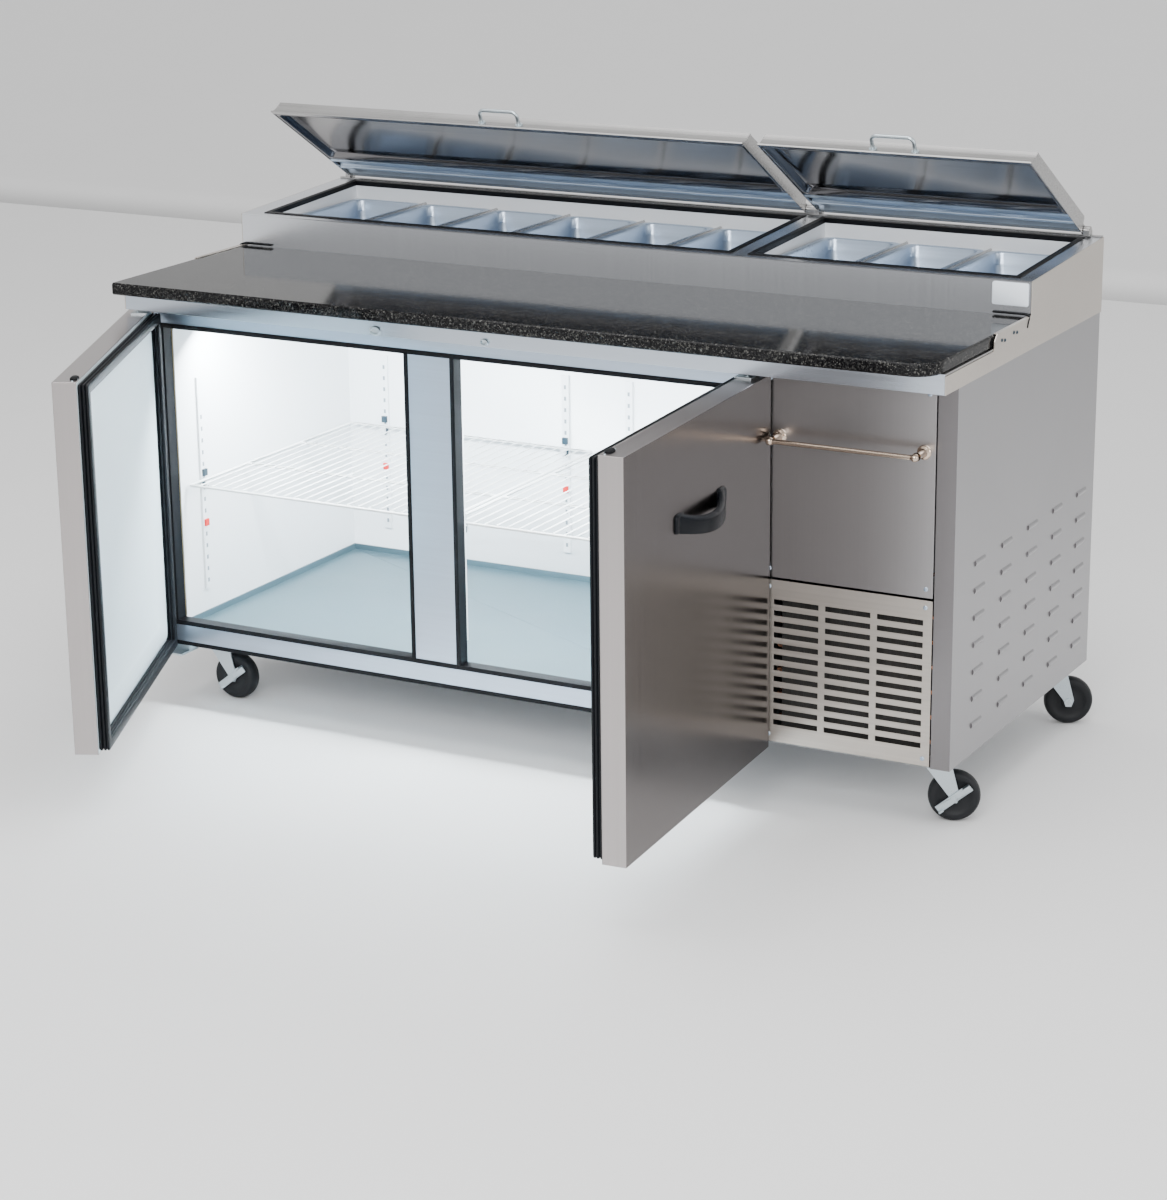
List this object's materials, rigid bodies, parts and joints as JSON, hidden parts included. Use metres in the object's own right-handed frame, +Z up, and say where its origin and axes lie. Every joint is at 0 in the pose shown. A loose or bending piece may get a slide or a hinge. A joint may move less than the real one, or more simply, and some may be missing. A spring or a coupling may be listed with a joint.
{
  "type": "refrigerated sandwich prep table",
  "caption": "Two-door refrigerated prep table on casters, with a stone worktop, hinged lids over a raised pan rail, wire shelves and an end machine bay.",
  "frame": {"origin": "centre of the whole object's footprint as it stands with both doors open, at the floor under the casters", "axes": "+X along the cabinet towards the machine bay, +Y from the door side to the back, +Z up"},
  "size_m": [1.8762, 1.4602, 1.2636],
  "materials": {
    "brushed_steel": "brushed stainless",
    "galvanised_steel": "galvanised sheet",
    "zinc_plate": "zinc plated",
    "intake_steel": "satin stainless",
    "white_liner": "white moulded sheet",
    "white_aluminium": "white coated",
    "white_wire": "white epoxy coating",
    "foam": "foamed in place",
    "black_plastic": "satin moulding",
    "gasket_rubber": "soft magnetic gasket",
    "polished_bar": "polished",
    "granite": "polished black granite",
    "black_paint": "gloss enamel",
    "coil_aluminium": "plain fins",
    "wheel_rubber": "moulded tread"
  },
  "bodies": {
    "cabinet": {"side_panel_left": "brushed_steel", "side_panel_right": "brushed_steel", "front_frame": "brushed_steel", "machine_panel": "brushed_steel", "counter_frame": "brushed_steel", "rail_end_plates": "brushed_steel", "rail_shell": "brushed_steel", "lid_hinge_rail": "brushed_steel", "food_pans": "brushed_steel", "back_panel": "galvanised_steel", "base_pan": "galvanised_steel", "door_hinge_brackets": "galvanised_steel", "control_box": "galvanised_steel", "caster_plates": "zinc_plate", "intake_grille": "intake_steel", "interior_liner": "white_liner", "liner_floor": "white_liner", "rail_well": "white_liner", "shelf_standards": "white_liner", "wire_shelves": "white_wire", "evaporator": "white_aluminium", "insulation": "foam", "breaker_strips": "black_plastic", "rail_trim": "black_plastic", "cord_gland": "black_plastic", "towel_bar": "polished_bar", "worktop": "granite", "compressor": "black_paint", "condenser_unit": "coil_aluminium"},
    "door_left": {"door_left_shell": "brushed_steel", "door_left_core": "foam", "door_left_liner": "white_liner", "door_left_gasket": "gasket_rubber", "door_left_handle": "black_plastic", "door_left_hinge_leaves": "galvanised_steel"},
    "door_right": {"door_right_shell": "brushed_steel", "door_right_core": "foam", "door_right_liner": "white_liner", "door_right_gasket": "gasket_rubber", "door_right_handle": "black_plastic", "door_right_hinge_leaves": "galvanised_steel"},
    "lid_left": {"lid_left_cover": "brushed_steel", "lid_left_liner": "white_liner", "lid_left_handle": "polished_bar"},
    "lid_right": {"lid_right_cover": "brushed_steel", "lid_right_liner": "white_liner", "lid_right_handle": "polished_bar"},
    "fork_front_left": {"caster_front_left_fork": "zinc_plate"},
    "wheel_front_left": {"caster_front_left_wheel": "wheel_rubber"},
    "fork_front_right": {"caster_front_right_fork": "zinc_plate"},
    "wheel_front_right": {"caster_front_right_wheel": "wheel_rubber"},
    "fork_rear_left": {"caster_rear_left_fork": "zinc_plate"},
    "wheel_rear_left": {"caster_rear_left_wheel": "wheel_rubber"},
    "fork_rear_right": {"caster_rear_right_fork": "zinc_plate"},
    "wheel_rear_right": {"caster_rear_right_wheel": "wheel_rubber"},
    "brake_front_left": {"caster_front_left_brake": "zinc_plate"},
    "brake_front_right": {"caster_front_right_brake": "zinc_plate"},
    "condenser_fan_body": {"condenser_fan": "black_plastic"},
    "evaporator_fan_body": {"evaporator_fan": "black_plastic"},
    "thermostat_knob_body": {"thermostat_knob": "black_plastic"}
  },
  "joints": [
    {"name": "door_left_hinge", "type": "hinge", "parent": "cabinet", "child": "door_left", "pos_m": [-0.8931, -0.04491, 0.494], "axis": [0, 0, 1], "range_deg": [-39.5, 65.5]},
    {"name": "door_right_hinge", "type": "hinge", "parent": "cabinet", "child": "door_right", "pos_m": [0.4869, -0.04491, 0.494], "axis": [0, 0, 1], "range_deg": [-94, 3]},
    {"name": "lid_left_hinge", "type": "hinge", "parent": "cabinet", "child": "lid_left", "pos_m": [-0.3076, 0.71709, 1.042], "axis": [-1, 0, 0], "range_deg": [-33.8, 66]},
    {"name": "lid_right_hinge", "type": "hinge", "parent": "cabinet", "child": "lid_right", "pos_m": [0.5854, 0.71709, 1.042], "axis": [-1, 0, 0], "range_deg": [-33.8, 66]},
    {"name": "swivel_front_left", "type": "hinge", "parent": "cabinet", "child": "fork_front_left", "pos_m": [-0.8101, 0.04309, 0.118], "axis": [0, 0, 1], "continuous": true},
    {"name": "roll_front_left", "type": "hinge", "parent": "fork_front_left", "child": "wheel_front_left", "pos_m": [-0.7801, 0.04309, 0.051], "axis": [0, 1, 0], "continuous": true},
    {"name": "pedal_front_left", "type": "hinge", "parent": "fork_front_left", "child": "brake_front_left", "pos_m": [-0.7801, 0.04309, 0.051], "axis": [0, 1, 0], "range_deg": [0, 25]},
    {"name": "swivel_front_right", "type": "hinge", "parent": "cabinet", "child": "fork_front_right", "pos_m": [0.8589, 0.04309, 0.118], "axis": [0, 0, 1], "continuous": true},
    {"name": "roll_front_right", "type": "hinge", "parent": "fork_front_right", "child": "wheel_front_right", "pos_m": [0.88691, 0.05384, 0.051], "axis": [-0.3584, 0.9336, 0], "continuous": true},
    {"name": "pedal_front_right", "type": "hinge", "parent": "fork_front_right", "child": "brake_front_right", "pos_m": [0.88691, 0.05384, 0.051], "axis": [-0.3584, 0.9336, 0], "range_deg": [0, 25]},
    {"name": "swivel_rear_left", "type": "hinge", "parent": "cabinet", "child": "fork_rear_left", "pos_m": [-0.8101, 0.68009, 0.118], "axis": [0, 0, 1], "continuous": true},
    {"name": "roll_rear_left", "type": "hinge", "parent": "fork_rear_left", "child": "wheel_rear_left", "pos_m": [-0.78209, 0.69084, 0.051], "axis": [-0.3584, 0.9336, 0], "continuous": true},
    {"name": "swivel_rear_right", "type": "hinge", "parent": "cabinet", "child": "fork_rear_right", "pos_m": [0.8589, 0.68009, 0.118], "axis": [0, 0, 1], "continuous": true},
    {"name": "roll_rear_right", "type": "hinge", "parent": "fork_rear_right", "child": "wheel_rear_right", "pos_m": [0.88631, 0.6923, 0.051], "axis": [-0.4067, 0.9135, 0], "continuous": true},
    {"name": "condenser_fan_spin", "type": "hinge", "parent": "cabinet", "child": "condenser_fan_body", "pos_m": [0.6939, 0.06909, 0.296], "axis": [0, 1, 0], "continuous": true},
    {"name": "evaporator_fan_spin", "type": "hinge", "parent": "cabinet", "child": "evaporator_fan_body", "pos_m": [0.3359, 0.45609, 0.745], "axis": [0, 1, 0], "continuous": true},
    {"name": "thermostat_turn", "type": "hinge", "parent": "cabinet", "child": "thermostat_knob_body", "pos_m": [0.4189, 0.42509, 0.67], "axis": [0, -1, 0], "range_deg": [0, 270]}
  ]
}
